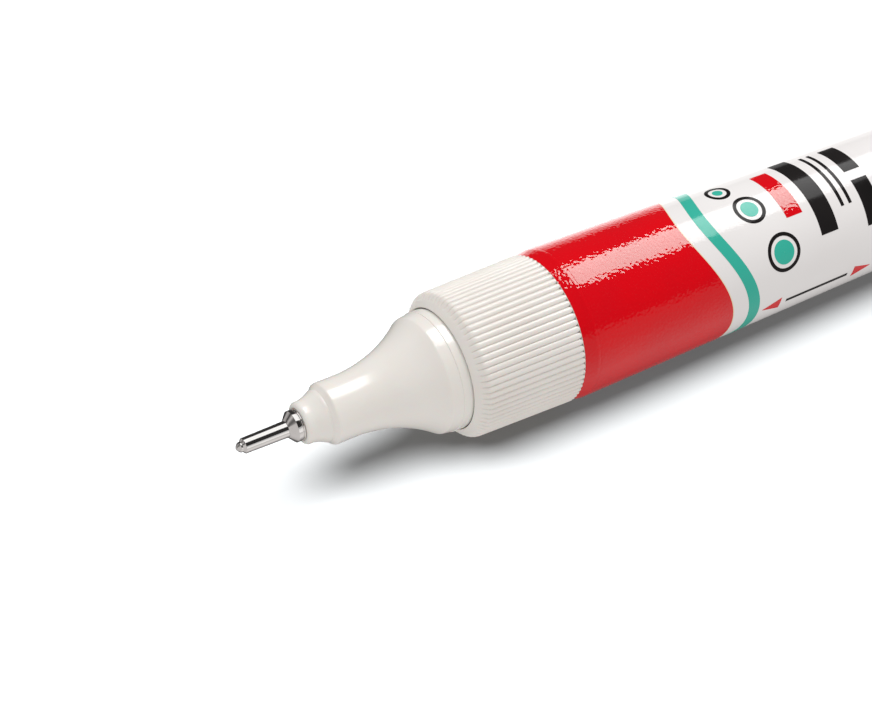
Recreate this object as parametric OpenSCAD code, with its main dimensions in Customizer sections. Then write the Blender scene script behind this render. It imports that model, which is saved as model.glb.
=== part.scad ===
// Correction pen without its cap, standing on its flat rear end with the writing tip up.
// A squeeze bottle in a printed film carries a ribbed collar, which clamps the nose cone.
// The nose holds a turned metal tip with a captive ball, a spring loaded valve rod and its spring.

/* [Bottle] */
// Height of the barrel from the flat rear end to the shoulder edge
barrel_len = 79.5; // [60:0.5:110]
// Diameter over the film at the shoulder edge
barrel_front_d = 19.7; // [18.9:0.1:21]
// Diameter over the film at the rear end
barrel_rear_d = 17.6; // [15.5:0.1:19.5]
// Wall of the bottle
bottle_wall = 1.1; // [0.7:0.05:1.6]
// Thickness of the closed rear end
base_t = 1.8; // [1.2:0.1:4]
// Rounding of the rear edge
base_round = 1.4; // [0.5:0.1:1.6]
// Height of the bare heel below the film
heel_len = 3.2; // [2:0.1:8]
// Length of the lowered ring between the shoulder edge and the collar
ring_len = 1.65; // [1:0.05:4]
// How much the lowered ring lies below the barrel, in radius
ring_drop = 0.23; // [0.1:0.01:0.4]
// Width of the step between the barrel and the neck
seat_w = 1.6; // [1.45:0.05:1.9]
// Length of the neck above the ring
neck_len = 11.8; // [9:0.1:16]
// Wall of the neck
neck_wall = 1.2; // [0.9:0.05:1.5]
// Height of the snap bead above the foot of the neck
bead_pos = 4.6; // [3:0.1:6]
// How far the snap bead stands out of the neck
bead_out = 0.4; // [0.2:0.05:0.5]
// Height of the snap bead
bead_h = 1.2; // [0.8:0.1:1.6]

/* [Film and print] */
// Thickness of the film
film_t = 0.12; // [0.06:0.01:0.2]
// Thickness of the printed ink
ink_t = 0.05; // [0.03:0.01:0.08]
// Distance from the shoulder edge to the rearmost point of the red field
red_len = 21.6; // [15:0.1:30]
// How far the curved border of the red field rises round the barrel
wave_rise = 4.5; // [2:0.1:7]
// Direction in which the border reaches furthest to the rear
wave_dir = 210; // [0:1:359]
// White gap between the red field and the teal stripe
gap_len = 2.6; // [1.5:0.1:5]
// Width of the teal stripe
stripe_w = 1.8; // [1:0.1:3]
// Direction in which one set of the printed shapes is centred
print_dir = 298; // [0:1:359]
// Distance from the shoulder edge to the dark bar
bar_pos = 36.6; // [33:0.1:40]
// Width of the dark bar
bar_w = 2.8; // [1:0.1:4]
// Angle that the dark bar covers
bar_span = 82; // [40:1:120]
// Width of the red bar
pill_w = 2.6; // [1:0.1:3.5]
// Angle that the red bar covers
pill_span = 50; // [30:1:110]
// Diameter of the largest printed disc
disc_d = 5.2; // [3:0.1:5.5]
// Width of the dark outline round a disc
outline_w = 0.5; // [0.2:0.05:0.8]
// Length of an arrow head
arrow_len = 3; // [1.5:0.1:4]
// Width of the printed lines
line_w = 0.5; // [0.3:0.05:0.8]

/* [Collar] */
// How far the collar's rear edge lies inside the barrel's edge
collar_inset = 0.1; // [0:0.05:0.2]
// How much slimmer the collar is at the front than at the rear, in radius
collar_taper = 0.3; // [0:0.05:0.4]
// Number of ribs
rib_n = 72; // [60:1:84]
// Depth of the grooves between the ribs
rib_depth = 0.24; // [0.15:0.01:0.3]
// Clearance round the neck and its bead
collar_clear = 0.15; // [0.1:0.01:0.2]
// Thickness of the front lip at its hole
lip_t = 1.6; // [1.2:0.05:3]
// Length of the sloping front face along the axis
lip_slope = 1.25; // [0.8:0.05:1.4]
// How far in front of the collar's side the grooves run out on the sloping face
groove_run = 0.4; // [0.1:0.05:0.6]

/* [Nose cone] */
// Width of the ledge by which the collar holds the nose
ledge_w = 0.5; // [0.4:0.05:0.8]
// Length of the straight band in front of the collar
band_len = 1.1; // [0.6:0.05:2.5]
// Gap between the collar and the band, along the axis
seam_gap = 0.1; // [0.05:0.01:0.2]
// How much slimmer the nose is inside the collar than at the band, in radius
band_relief = 0.25; // [0.2:0.01:0.35]
// Height of the fine step in front of the band
band_step = 0.05; // [0.02:0.01:0.1]
// Length of the straight rise of the nose between the band and its rounded shoulder
crown_len = 1.3; // [0.8:0.05:1.6]
// Slope of that rise from the axis
crown_angle = 9; // [4:1:12]
// Length of the nose in front of the collar
nose_len = 19.6; // [18.8:0.1:24]
// Diameter of the slim stem
stem_d = 7.8; // [7:0.05:8.4]
// Distance from the nose front to the foot of the step at the stem
step_pos = 3.05; // [2.6:0.05:4.5]
// Height of that step
step_h = 0.58; // [0.3:0.02:0.7]
// Rounding of the step, as far as its height allows
step_round = 1.1; // [0.3:0.05:1.4]
// Steepest angle of the step from the axis
step_angle = 48; // [35:1:60]
// How much the front section is hollowed along its length
front_hollow = 0.08; // [0:0.01:0.15]
// Diameter of the front ring
front_d = 5.3; // [5.2:0.05:5.8]
// Rounding of the nose front
front_round = 0.5; // [0.2:0.05:0.5]
// Radius of the long flare between the stem and the band
flare_r = 18; // [15:0.1:20]
// Rounding between the flare and the rise behind it
shoulder_r = 0.6; // [0.3:0.1:1.5]
// Steepest angle of the flare from the axis, where there is room for it
flare_angle = 35; // [30:0.5:38]
// Wall of the nose
nose_wall = 1.4; // [1:0.05:1.6]
// How far the flange inside the collar is set in from the neck
flange_inset = 0.05; // [0:0.05:0.2]
// Thickness of the flange
flange_t = 1.2; // [0.8:0.05:1.8]
// Length of the skirt inside the neck
skirt_len = 4; // [2:0.1:6]
// Wall of the skirt
skirt_wall = 1; // [0.7:0.05:1.4]
// Clearance between the skirt and the neck, and between the band and the collar
nose_clear = 0.08; // [0.04:0.01:0.15]
// Thickness of the gasket on the neck
gasket_t = 0.5; // [0.3:0.05:1]

/* [Metal tip] */
// Diameter of the shank inside the nose
shank_d = 3.5; // [3.2:0.05:3.6]
// Length of the shank inside the nose
shank_len = 6.2; // [5:0.1:7.5]
// Diameter of the small flange at the nose opening
seat_d = 4; // [3.8:0.02:4.1]
// Thickness of the small flange
seat_t = 0.3; // [0.2:0.02:0.5]
// Length of the groove in front of the small flange
groove_len = 0.16; // [0.1:0.02:0.4]
// Depth of the groove
groove_depth = 0.12; // [0.05:0.01:0.25]
// Largest diameter of the cone
cone_d = 3.94; // [3.6:0.02:4]
// Length of the straight rim behind the cone
rim_len = 0.5; // [0.2:0.02:0.8]
// Length of the cone
cone_len = 0.8; // [0.6:0.05:1.4]
// Diameter of the tube at the cone
tube_d = 2.06; // [1.9:0.02:2.2]
// Diameter of the tube at its front
tube_front_d = 1.91; // [1.8:0.02:2.1]
// Length of the tube in front of the cone
tube_len = 6.3; // [4:0.02:9]
// Depth of the tube inside the holder
tube_seat = 3.5; // [2:0.1:4]
// Diameter of the bore for the rod in the holder
holder_bore_d = 1.7; // [1.5:0.05:1.9]
// Diameter of the ball
ball_d = 1; // [0.9:0.02:1.1]
// Length of the crimped lip
crimp_len = 0.68; // [0.54:0.02:0.9]
// Length of the slim neck of the lip, in front of its sloping shoulder
crimp_neck = 0.4; // [0.24:0.02:0.4]
// Clearance between parts that run in each other
run_clear = 0.02; // [0.01:0.005:0.03]

/* [Valve] */
// Diameter of the rod behind the ball
rod_d = 0.6; // [0.5:0.02:0.7]
// How far the ball and the rod can be pressed in
travel = 0.35; // [0.2:0.01:0.4]
// Diameter of the flange that carries the spring
head_d = 3; // [2.8:0.05:3.3]
// Thickness of that flange
head_t = 0.6; // [0.4:0.05:1]
// Diameter of the pin inside the spring
guide_d = 1; // [0.8:0.05:1.2]
// How far the pin enters the plug behind the spring
guide_reach = 0.6; // [0.3:0.05:0.9]
// Clearance round the pin in the plug
guide_clear = 0.05; // [0.03:0.01:0.1]
// Diameter of the spring wire
wire_d = 0.3; // [0.2:0.02:0.4]
// Mean diameter of the spring
spring_d = 2; // [1.9:0.05:2.2]
// Length of the spring
spring_len = 3.5; // [3.4:0.1:4]
// Number of turns
spring_turns = 5; // [4:1:6]
// Diameter of the chamber in the nose
chamber_d = 4.6; // [4.3:0.05:5]
// Thickness of the plug behind the spring
plug_t = 1.5; // [1:0.1:2]
// Diameter of the four flow holes in the plug
flow_d = 0.7; // [0.5:0.05:0.8]

/* [Mixing ball] */
// Diameter of the loose steel ball in the bottle
mixer_d = 4.8; // [3:0.1:6]

/* [Hidden] */
$fn = 96;
eps = 0.01;
big = 60;

// Heights of the seats, from the rear end to the tip
collar_z = barrel_len + ring_len;
neck_top_z = collar_z + neck_len;
flange_z = neck_top_z + gasket_t;
ledge_z = flange_z + flange_t;
seam_z = ledge_z + lip_t;
nose_front_z = seam_z + nose_len;
seat_z = nose_front_z - seat_t / 3;
groove_z = seat_z + seat_t;
cone_z = groove_z + groove_len;
tube_z = cone_z + rim_len + cone_len;
lip_front_z = tube_z + tube_len;
holder_rear_z = seat_z - shank_len;

// Ball and rod
ball_r = ball_d / 2;
lip_hole_r = ball_r - run_clear;
ball_sink = sqrt(pow(ball_r + run_clear, 2) - pow(lip_hole_r, 2));
ball_z = lip_front_z - ball_sink;
tube_bore_r = ball_r + 3 * run_clear;
rod_front_z = ball_z - ball_r - run_clear;
seat_cone = 0.5;
seat_clear = 0.05;
head_z = holder_rear_z - 2 * seat_clear;
guide_z = head_z - head_t;
guide_len = spring_len + 2 * run_clear + guide_reach;
spring_z = guide_z - run_clear - spring_len;
plug_z = spring_z - run_clear - plug_t;

// Radii of the barrel at a height
function barrel_r(z) = (barrel_rear_d + (barrel_front_d - barrel_rear_d) * z / barrel_len) / 2;
ring_r = barrel_r(barrel_len) - ring_drop;
neck_r = barrel_front_d / 2 - seat_w;
neck_bore_r = neck_r - neck_wall;
collar_bore_r = neck_r + collar_clear;
collar_gap = 0.05;
film_gap = 0.04;

// Points of an arc in a profile, from one angle to the other
function arc(x, y, r, from, to, steps = 10) =
    [for (i = [0:steps]) let (a = from + (to - from) * i / steps) [x + r * cos(a), y + r * sin(a)]];

// Points of a line in a profile that is hollowed towards the axis
function hollow(p, q, depth, steps = 6) =
    [for (i = [0:steps]) let (t = i / steps) p + (q - p) * t - [4 * depth * t * (1 - t), 0]];

// Nose profile: the long flare starts at the stem and ends on the shoulder's tangent
stem_r = stem_d / 2;
band_r = neck_r - ledge_w;
step_z = nose_front_z - step_pos;
band_z = seam_z + seam_gap;
band_top_z = band_z + band_len;
crown_r = band_r - band_step;
// Centre of the shoulder's rounding
shoulder_z = band_top_z + crown_len - shoulder_r * sin(crown_angle);
shoulder_mid_r = crown_r - crown_len * tan(crown_angle) - shoulder_r * cos(crown_angle);
flare_room = acos((flare_r + stem_r - shoulder_mid_r) / (flare_r + shoulder_r));
flare_a = min(flare_angle, flare_room);
slope_top_z = shoulder_z + shoulder_r * sin(flare_a);
slope_top_r = shoulder_mid_r + shoulder_r * cos(flare_a);
flare_out = flare_r * (1 - cos(flare_a));
slope_len = (slope_top_r - stem_r - flare_out) / sin(flare_a);
flare_foot_z = slope_top_z + slope_len * cos(flare_a);
flare_z = flare_foot_z + flare_r * sin(flare_a);

module ring(r_out, r_in, h) {
    difference() {
        cylinder(r = r_out, h = h);
        translate([0, 0, -eps]) cylinder(r = r_in, h = h + 2 * eps);
    }
}

// Solid of the barrel and its lowered ring, shrunk by an inset, from a height up to the collar
module barrel_solid(inset, z_from, z_to) {
    rotate_extrude() polygon([
        [0, z_from],
        [barrel_r(z_from) - inset, z_from],
        [barrel_r(barrel_len) - inset, barrel_len],
        [ring_r - inset, barrel_len + ring_drop],
        [ring_r - inset, z_to],
        [0, z_to]]);
}

module barrel_shell(outer, inner, z_from, z_to) {
    difference() {
        barrel_solid(outer, z_from, z_to);
        barrel_solid(inner, z_from - 1, z_to + 1);
    }
}

module bottle() {
    inner_foot_r = barrel_r(base_t) - film_t - bottle_wall;
    inner_top_r = barrel_r(barrel_len) - film_t - bottle_wall;
    inner_top_z = barrel_len - 2;
    color("ivory") difference() {
        union() {
            barrel_solid(film_t, heel_len, collar_z);
            // Heel, flush with the film
            rotate_extrude() polygon(concat(
                [[0, 0]],
                arc(barrel_r(0) - base_round, base_round, base_round, -90, 0),
                [[barrel_r(heel_len), heel_len], [0, heel_len]]));
            translate([0, 0, collar_z - eps]) cylinder(r = neck_r, h = neck_len + eps);
            // Snap bead with sloping faces
            translate([0, 0, collar_z + bead_pos]) rotate_extrude() polygon([
                [neck_r - 1, 0],
                [neck_r, 0],
                [neck_r + bead_out, bead_h / 3],
                [neck_r + bead_out, bead_h * 2 / 3],
                [neck_r, bead_h],
                [neck_r - 1, bead_h]]);
        }
        rotate_extrude() polygon([
            [0, base_t],
            [inner_foot_r - 1, base_t],
            [inner_foot_r, base_t + 1],
            [inner_top_r, inner_top_z],
            [neck_bore_r, inner_top_z + inner_top_r - neck_bore_r],
            [neck_bore_r, neck_top_z + eps],
            [0, neck_top_z + eps]]);
    }
}

module label_film() {
    color("white") barrel_shell(0, film_t, heel_len, collar_z - film_gap);
}

// Everything in front of a curved border that reaches furthest to the rear at wave_dir
module wave_mask(rear_z) {
    span = barrel_front_d / 2;
    wave_r = (span * span + wave_rise * wave_rise) / (2 * wave_rise);
    rotate([0, 0, wave_dir]) translate([big / 2, 0, rear_z + wave_r]) rotate([0, -90, 0])
        union() {
            cylinder(r = wave_r, h = big);
            translate([0, -big / 2, 0]) cube([big, big, big]);
        }
}

module ink(z_from = heel_len) {
    barrel_shell(-ink_t, 0, z_from, collar_z - film_gap);
}

red_z = barrel_len - red_len;
stripe_z = red_z - gap_len;

// Printed shapes: discs as direction, distance and share of the largest disc
discs = [[-42, 30.2, 1], [0, 28.2, 0.85], [28, 26.6, 0.65]];
// Dark bars behind the wide one as direction, angle, distance and width
bars = [[5, 60, 1.6, line_w], [5, 60, 2.9, line_w], [18, 34, 4.9, 2.6], [-28, 40, 4.9, 2.6]];
pill_pos = bar_pos - pill_w - 1.6;
line_pos = 29.8;
arrow_gap = 1;
line_len = 10.5;

// A block that cuts a shape out of the ink, seen from one direction at a distance from the shoulder
module stamp(dir, pos) {
    rotate([0, 0, dir]) translate([barrel_rear_d / 4, 0, barrel_len - pos]) rotate([90, 0, 90])
        linear_extrude(height = barrel_front_d / 2) children();
}

// A bar that runs round the barrel
module round_bar(dir, span, pos, width) {
    rotate([0, 0, dir - span / 2]) rotate_extrude(angle = span)
        translate([barrel_rear_d / 4, barrel_len - pos - width]) square([barrel_front_d / 2, width]);
}

module arrow_head() {
    polygon([[0, arrow_len], [arrow_len / 3, 0], [-arrow_len / 3, 0]]);
}

module red_print() {
    color("red") intersection() {
        ink();
        union() {
            wave_mask(red_z);
            for (side = [0, 180]) {
                round_bar(print_dir + side + 7, pill_span, pill_pos, pill_w);
                stamp(wave_dir + side, line_pos) arrow_head();
                stamp(wave_dir + side, line_pos + line_len + 2 * arrow_gap) rotate(180) arrow_head();
            }
        }
    }
}

module teal_print() {
    color("mediumaquamarine") intersection() {
        ink();
        union() {
            difference() {
                wave_mask(stripe_z - stripe_w);
                wave_mask(stripe_z);
            }
            for (side = [0, 180], disc = discs)
                stamp(print_dir + side + disc[0], disc[1]) circle(d = disc[2] * disc_d - 4 * outline_w);
        }
    }
}

module dark_print() {
    color("black") intersection() {
        ink();
        union() for (side = [0, 180]) {
            round_bar(print_dir + side, bar_span, bar_pos, bar_w);
            for (bar = bars)
                round_bar(print_dir + side + bar[0], bar[1], bar_pos + bar_w + bar[2], bar[3]);
            stamp(wave_dir + side, line_pos + arrow_gap + line_len)
                translate([-line_w / 2, 0]) square([line_w, line_len]);
            for (disc = discs)
                stamp(print_dir + side + disc[0], disc[1]) difference() {
                    circle(d = disc[2] * disc_d);
                    circle(d = disc[2] * disc_d - 2 * outline_w);
                }
        }
    }
}

module collar() {
    foot_z = collar_z + collar_gap;
    ridge_z = seam_z - lip_slope;
    rear_r = barrel_front_d / 2 - collar_inset;
    front_r = rear_r - collar_taper;
    lean = atan(collar_taper / (ridge_z - foot_z));
    hole_r = band_r + nose_clear;
    // Ribs whose round tops meet in grooves of the given depth
    half_pitch = (rear_r - rib_depth) * sin(180 / rib_n);
    rib_r = (half_pitch * half_pitch + rib_depth * rib_depth) / (2 * rib_depth);
    core_depth = rib_depth + 0.06;
    slope_r = front_r - 0.2;
    lip_round = 0.2;
    groove_r = neck_r + bead_out + collar_clear;
    groove_z = collar_z + bead_pos - collar_clear;
    color("ivory") difference() {
        intersection() {
            union() {
                rotate_extrude() polygon([
                    [0, foot_z],
                    [rear_r - core_depth, foot_z],
                    [front_r - core_depth, ridge_z - 0.5],
                    [slope_r - groove_run, ridge_z + groove_run],
                    [slope_r - groove_run, seam_z],
                    [0, seam_z]]);
                for (i = [0:rib_n - 1])
                    rotate([0, 0, 360 * i / rib_n])
                        translate([rear_r - rib_r, 0, foot_z]) rotate([0, -lean, 0])
                            translate([0, 0, -1]) cylinder(r = rib_r, h = seam_z - foot_z + 1);
            }
            // Sloping front with a rounded rim, and flat rear edge
            rotate_extrude() polygon(concat(
                [[0, foot_z], [rear_r + 1, foot_z], [rear_r + 1, ridge_z - 2]],
                [[front_r + 0.02, ridge_z - 0.55], [front_r - 0.06, ridge_z - 0.25], [slope_r, ridge_z]],
                arc(hole_r + lip_round, seam_z - lip_round, lip_round, 45, 90, 4),
                [[0, seam_z]]));
        }
        translate([0, 0, foot_z - 1]) cylinder(r = collar_bore_r, h = ledge_z - foot_z + 1);
        translate([0, 0, foot_z]) cylinder(r = hole_r, h = seam_z);
        translate([0, 0, groove_z]) cylinder(r = groove_r, h = bead_h + 2 * collar_clear);
    }
}

module neck_gasket() {
    color("gray") translate([0, 0, neck_top_z]) ring(neck_r - 0.1, neck_bore_r + 0.1, gasket_t);
}

module nose_cone() {
    skirt_r = neck_bore_r - nose_clear;
    flange_r = neck_r - flange_inset;
    front_r = front_d / 2;
    // The step rises from its foot at its angle and then rounds into the stem
    rise_r = min(step_round, step_h / (1 - cos(step_angle)));
    rise_foot = (step_h - rise_r * (1 - cos(step_angle))) / tan(step_angle);
    rise_z = step_z - rise_foot - rise_r * sin(step_angle);
    shank_bore_r = shank_d / 2 + run_clear;
    mouth_r = seat_d / 2 + 0.1;
    mouth_z = seat_z;
    chamber_top_z = holder_rear_z - 0.1;
    funnel_z = plug_z;
    funnel_r = band_r - nose_wall;
    funnel_foot_z = band_top_z + 1;
    // Length of the straight ring behind the rounded front
    front_ring = 0.6;
    color("white") difference() {
        rotate_extrude() polygon(concat(
            [[0, flange_z - skirt_len], [skirt_r, flange_z - skirt_len], [skirt_r, flange_z]],
            [[flange_r, flange_z], [flange_r, ledge_z]],
            // Relief inside the collar, and the band in front of it
            [[band_r - band_relief, ledge_z], [band_r - band_relief, band_z]],
            [[band_r, band_z], [band_r, band_top_z], [crown_r, band_top_z]],
            // Shoulder, slope, long flare and stem
            arc(shoulder_mid_r, shoulder_z, shoulder_r, crown_angle, flare_a, 5),
            arc(stem_r + flare_r, flare_z, flare_r, 180 + flare_a, 180, 14),
            // Rounded step and the hollowed front section
            arc(stem_r - rise_r, rise_z, rise_r, 0, step_angle, 6),
            hollow([stem_r - step_h, step_z],
                [front_r + 0.03, nose_front_z - front_round - front_ring], front_hollow),
            arc(front_r - front_round, nose_front_z - front_round, front_round, 0, 90, 7),
            [[0, nose_front_z]]));
        translate([0, 0, chamber_top_z - eps]) cylinder(r = shank_bore_r, h = big);
        translate([0, 0, mouth_z]) cylinder(r = mouth_r, h = big);
        translate([0, 0, funnel_z - eps]) cylinder(d = chamber_d, h = chamber_top_z - funnel_z + eps);
        rotate_extrude() polygon([
            [0, flange_z - skirt_len - eps],
            [skirt_r - skirt_wall, flange_z - skirt_len - eps],
            [skirt_r - skirt_wall, funnel_foot_z - 1],
            [funnel_r - 1, funnel_foot_z],
            [chamber_d / 2, funnel_z],
            [0, funnel_z]]);
    }
}

module tip_holder() {
    shank_r = shank_d / 2;
    groove_r = cone_d / 2 - groove_depth;
    tube_r = tube_d / 2;
    color("silver") difference() {
        rotate_extrude() polygon([
            [0, holder_rear_z],
            [shank_r - 0.2, holder_rear_z],
            [shank_r, holder_rear_z + 0.2],
            [shank_r, seat_z],
            [seat_d / 2, seat_z],
            [seat_d / 2, groove_z],
            [groove_r, groove_z],
            [groove_r, cone_z],
            [cone_d / 2, cone_z],
            [cone_d / 2, cone_z + rim_len],
            [tube_r + 0.08, tube_z],
            [0, tube_z]]);
        translate([0, 0, tube_z - tube_seat]) cylinder(r = tube_r + run_clear, h = big);
        translate([0, 0, holder_rear_z - eps]) cylinder(d = holder_bore_d, h = big);
        // Conical seat of the valve
        translate([0, 0, holder_rear_z - eps])
            cylinder(r1 = holder_bore_d / 2 + seat_cone + eps, r2 = holder_bore_d / 2, h = seat_cone + eps);
    }
}

module tip_tube() {
    tube_r = tube_d / 2;
    front_r = tube_front_d / 2;
    crimp_z = lip_front_z - crimp_len;
    neck_z = lip_front_z - crimp_neck;
    lip_wall = 0.1;
    color("silver") difference() {
        rotate_extrude() polygon([
            [0, tube_z - tube_seat],
            [tube_r, tube_z - tube_seat],
            [tube_r, tube_z],
            [front_r, crimp_z],
            [front_r - 0.1, crimp_z + 0.1],
            [tube_bore_r + lip_wall, neck_z],
            [tube_bore_r + lip_wall, ball_z],
            [lip_hole_r + lip_wall, lip_front_z],
            [0, lip_front_z]]);
        translate([0, 0, tube_z - tube_seat - eps])
            cylinder(r = tube_bore_r, h = ball_z - tube_z + tube_seat + eps);
        // Crimp that holds the ball
        translate([0, 0, ball_z - eps])
            cylinder(r1 = tube_bore_r, r2 = lip_hole_r, h = lip_front_z - ball_z + eps);
        translate([0, 0, lip_front_z - eps]) cylinder(r = lip_hole_r, h = 1);
    }
}

module tip_ball() {
    color("silver") translate([0, 0, ball_z]) sphere(r = ball_r);
}

module valve_rod() {
    head_r = holder_bore_d / 2 + seat_cone - seat_clear;
    color("lightgray") union() {
        translate([0, 0, head_z - eps]) cylinder(d = rod_d, h = rod_front_z - head_z + eps);
        // Sealing cone and the flange that carries the spring
        translate([0, 0, head_z - eps])
            cylinder(r1 = head_r, r2 = head_r - seat_cone, h = seat_cone);
        translate([0, 0, guide_z]) cylinder(d = head_d, h = head_t);
        translate([0, 0, guide_z - guide_len]) cylinder(d = guide_d, h = guide_len + eps);
    }
}

// A round wire swept along a helix with closed end faces
module helix(mean_r, wire_r, height, turns, steps_per_turn = 20, sides = 8) {
    steps = turns * steps_per_turn;
    rise = height - 2 * wire_r;
    lean = atan(rise / (turns * 2 * PI * mean_r));
    points = [for (i = [0:steps]) let (a = 360 * turns * i / steps, z = wire_r + rise * i / steps)
        for (j = [0:sides - 1]) let (b = 360 * j / sides, u = wire_r * cos(b), v = wire_r * sin(b))
            [(mean_r + u) * cos(a) + v * sin(lean) * sin(a),
             (mean_r + u) * sin(a) - v * sin(lean) * cos(a),
             z + v * cos(lean)]];
    walls = [for (i = [0:steps - 1]) for (j = [0:sides - 1]) let (k = (j + 1) % sides)
        [i * sides + j, i * sides + k, (i + 1) * sides + k, (i + 1) * sides + j]];
    first = [for (j = [sides - 1:-1:0]) j];
    last = [for (j = [0:sides - 1]) steps * sides + j];
    polyhedron(points = points, faces = concat([first], walls, [last]));
}

module valve_spring() {
    color("silver") translate([0, 0, spring_z])
        helix(spring_d / 2, wire_d / 2, spring_len, spring_turns);
}

module spring_plug() {
    hole_ring_r = 1.5;
    color("white") translate([0, 0, plug_z]) difference() {
        cylinder(r = chamber_d / 2 - run_clear, h = plug_t);
        translate([0, 0, -eps]) cylinder(r = guide_d / 2 + guide_clear, h = plug_t + 2 * eps);
        for (i = [0:3])
            rotate([0, 0, 90 * i + 45]) translate([hole_ring_r, 0, -eps])
                cylinder(d = flow_d, h = plug_t + 2 * eps);
    }
}

module mixing_ball() {
    color("silver") translate([0, 0, base_t + mixer_d / 2 + eps]) sphere(d = mixer_d);
}

bottle();
label_film();
red_print();
teal_print();
dark_print();
collar();
nose_cone();
neck_gasket();
tip_holder();
tip_tube();
tip_ball();
valve_rod();
valve_spring();
spring_plug();
mixing_ball();
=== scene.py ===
import bmesh
import bpy
import math
from mathutils import Matrix, Vector


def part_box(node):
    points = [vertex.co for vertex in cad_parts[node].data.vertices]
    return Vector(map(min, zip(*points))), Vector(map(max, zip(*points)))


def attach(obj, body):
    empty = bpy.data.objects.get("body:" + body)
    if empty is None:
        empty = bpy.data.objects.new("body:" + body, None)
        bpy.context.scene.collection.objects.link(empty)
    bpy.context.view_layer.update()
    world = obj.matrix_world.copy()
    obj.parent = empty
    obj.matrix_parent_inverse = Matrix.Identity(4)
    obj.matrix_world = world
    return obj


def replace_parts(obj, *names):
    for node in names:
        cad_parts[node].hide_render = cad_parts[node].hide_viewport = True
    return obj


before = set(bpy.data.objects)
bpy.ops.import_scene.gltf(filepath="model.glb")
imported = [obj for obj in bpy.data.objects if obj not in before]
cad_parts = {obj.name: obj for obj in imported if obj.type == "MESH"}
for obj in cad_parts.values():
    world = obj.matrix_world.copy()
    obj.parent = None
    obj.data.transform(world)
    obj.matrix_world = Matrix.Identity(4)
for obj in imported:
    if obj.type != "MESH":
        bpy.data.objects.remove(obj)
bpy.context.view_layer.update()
mm = 0.001
print("frame loaded")


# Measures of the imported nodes, in millimetres
near = 0.02  # points this close to a height lie on it


def foot(node):
    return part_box(node)[0].z / mm


def top(node):
    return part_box(node)[1].z / mm


def girth(node, height=None):
    rings = [v.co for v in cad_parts[node].data.vertices
             if height is None or abs(v.co.z / mm - height) < near]
    return max(co.xy.length for co in rings) / mm


# Mesh tools: profiles are lists of (radius, height) in millimetres
axisReach = 1e-6  # points this close to the axis lie on it
bendReach = 0.48  # share of an edge that one rounding may take


def arcPoints(r, z, radius, start, end, steps=10):
    angles = [math.radians(start + (end - start) * i / steps) for i in range(steps + 1)]
    return [(r + radius * math.cos(a), z + radius * math.sin(a)) for a in angles]


def hollowLine(start, end, depth, steps=8):
    shares = [i / steps for i in range(steps + 1)]
    return [(start[0] + (end[0] - start[0]) * t - 4 * depth * t * (1 - t),
             start[1] + (end[1] - start[1]) * t) for t in shares]


def roundedLoop(corners, steps=4):
    # each corner is (radius, height, rounding)
    points = []
    for i, (r, z, rounding) in enumerate(corners):
        here = Vector((r, z))
        before = Vector(corners[i - 1][:2]) - here
        after = Vector(corners[(i + 1) % len(corners)][:2]) - here
        if rounding == 0:
            points.append((r, z))
            continue
        reach = rounding / math.tan(before.angle(after) / 2)
        reach = min(reach, before.length * bendReach, after.length * bendReach)
        start = here + before.normalized() * reach
        end = here + after.normalized() * reach
        for k in range(steps + 1):
            t = k / steps
            points.append(tuple((1 - t) ** 2 * start + 2 * t * (1 - t) * here + t * t * end))
    return points


def finishMesh(name, vertices, faces, material, body="body", sharpAngle=35):
    mesh = bpy.data.meshes.new(name)
    mesh.from_pydata([Vector(v) * mm for v in vertices], [], faces)
    work = bmesh.new()
    work.from_mesh(mesh)
    bmesh.ops.recalc_face_normals(work, faces=work.faces)
    work.to_mesh(mesh)
    work.free()
    mesh.shade_smooth()
    mesh.set_sharp_from_angle(angle=math.radians(sharpAngle))
    mesh.materials.append(material)
    piece = bpy.data.objects.new(name, mesh)
    bpy.context.scene.collection.objects.link(piece)
    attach(piece, body)
    return piece


def spinLoop(name, loop, material, sides, body="body"):
    # a closed profile turned about the pen's axis; points on the axis become one vertex
    vertices, rings, faces = [], [], []
    for r, z in loop:
        rings.append(len(vertices))
        if r < axisReach:
            vertices.append((0, 0, z))
            continue
        for k in range(sides):
            a = 2 * math.pi * k / sides
            vertices.append((r * math.cos(a), r * math.sin(a), z))
    for i, (r, z) in enumerate(loop):
        j = (i + 1) % len(loop)
        onAxis, nextOnAxis = r < axisReach, loop[j][0] < axisReach
        if onAxis and nextOnAxis:
            continue
        for k in range(sides):
            k2 = (k + 1) % sides
            a, b, c, d = rings[i] + k, rings[i] + k2, rings[j] + k2, rings[j] + k
            if onAxis:
                faces.append((rings[i], c, d))
            elif nextOnAxis:
                faces.append((a, b, rings[j]))
            else:
                faces.append((a, b, c, d))
    return finishMesh(name, vertices, faces, material, body)


# Material tools
spreadSpan = (0.3, 0.7)  # noise between these goes from the first value to the last
tintSpan = (0.35, 0.65)


def plainMaterial(name, colour, roughness, **sockets):
    material = bpy.data.materials.new(name)
    material.use_nodes = True
    shader = material.node_tree.nodes["Principled BSDF"]
    shader.inputs["Base Color"].default_value = (*colour, 1)
    shader.inputs["Roughness"].default_value = roughness
    for socket, value in sockets.items():
        shader.inputs[socket.replace("_", " ")].default_value = value
    return material


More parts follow.
